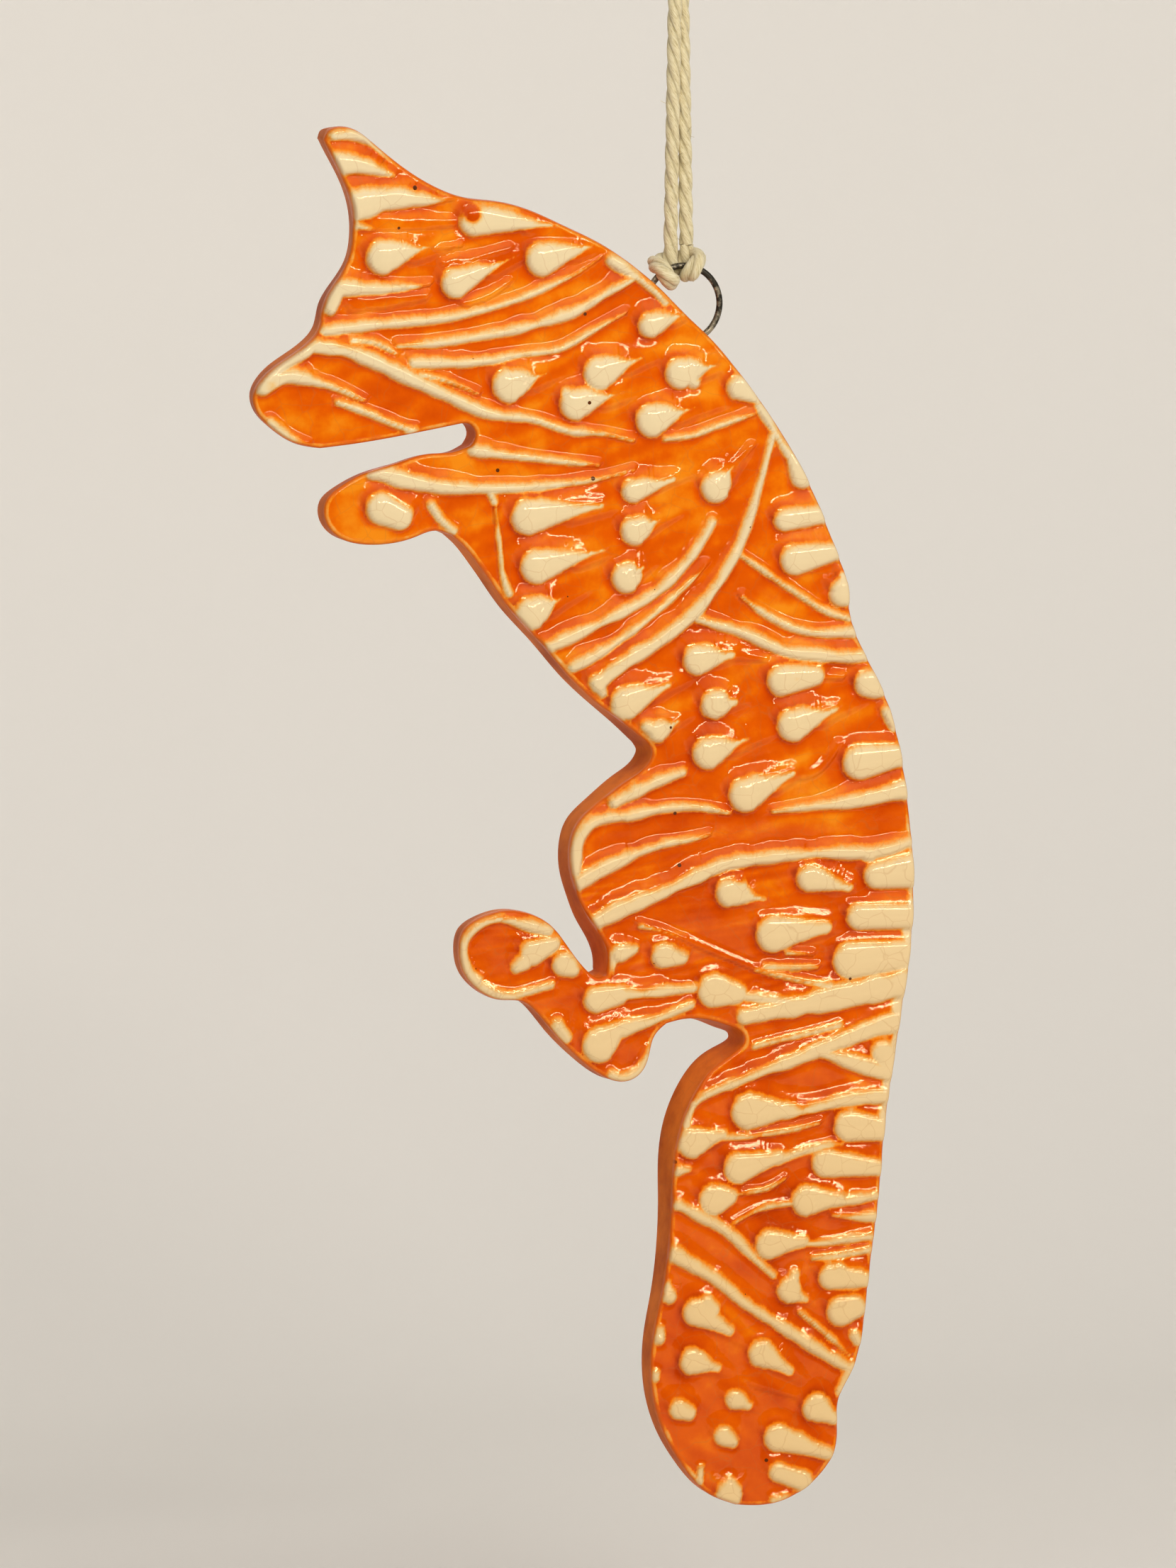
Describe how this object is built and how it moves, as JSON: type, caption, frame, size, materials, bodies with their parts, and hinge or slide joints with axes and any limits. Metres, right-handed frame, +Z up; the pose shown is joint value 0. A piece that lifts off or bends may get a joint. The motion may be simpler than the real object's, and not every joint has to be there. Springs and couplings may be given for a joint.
{
  "type": "hanging fox figurine",
  "caption": "Flat glazed clay fox in profile with low raised drops and stripes, hung by a wire ring from a doubled twine.",
  "frame": {"origin": "where a hook bears in the top of the twine's loop, between its two strands and under its knot", "axes": "+Z up along the hanging twine, +X to the right seen from the glazed front, which looks along -Y; the fox's flat back looks along +Y"},
  "size_m": [0.0878, 0.009, 0.2492],
  "materials": {
    "glazed_clay": "clear gloss glaze over orange and cream underglaze, with fine craze lines",
    "ring_wire": "oxidised dark by firing, with small worn bright spots",
    "twine": "pale waxed plied twine, matt"
  },
  "bodies": {
    "cord": {"twine_loop": "twine", "twine_knot": "twine", "twine_tails": "twine"},
    "strands": {"twine_left": "twine", "twine_right": "twine"},
    "hitch": {"twine_hitch": "twine"},
    "fox": {"fox_slab": "glazed_clay", "hanging_ring": "ring_wire"}
  },
  "joints": [
    {"name": "cord_twist", "type": "hinge", "parent": "cord", "child": "strands", "pos_m": [0, 0, -0.02], "axis": [0, 0, 1], "range_deg": [-180, 180]},
    {"name": "hitch_swing", "type": "hinge", "parent": "strands", "child": "hitch", "pos_m": [0, 0, -0.0674], "axis": [1, 0, 0], "range_deg": [-70, 70]},
    {"name": "ring_slide", "type": "hinge", "parent": "hitch", "child": "fox", "pos_m": [0.00021, -0.00131, -0.07485], "axis": [0, 1, 0], "range_deg": [-80, 12]}
  ]
}
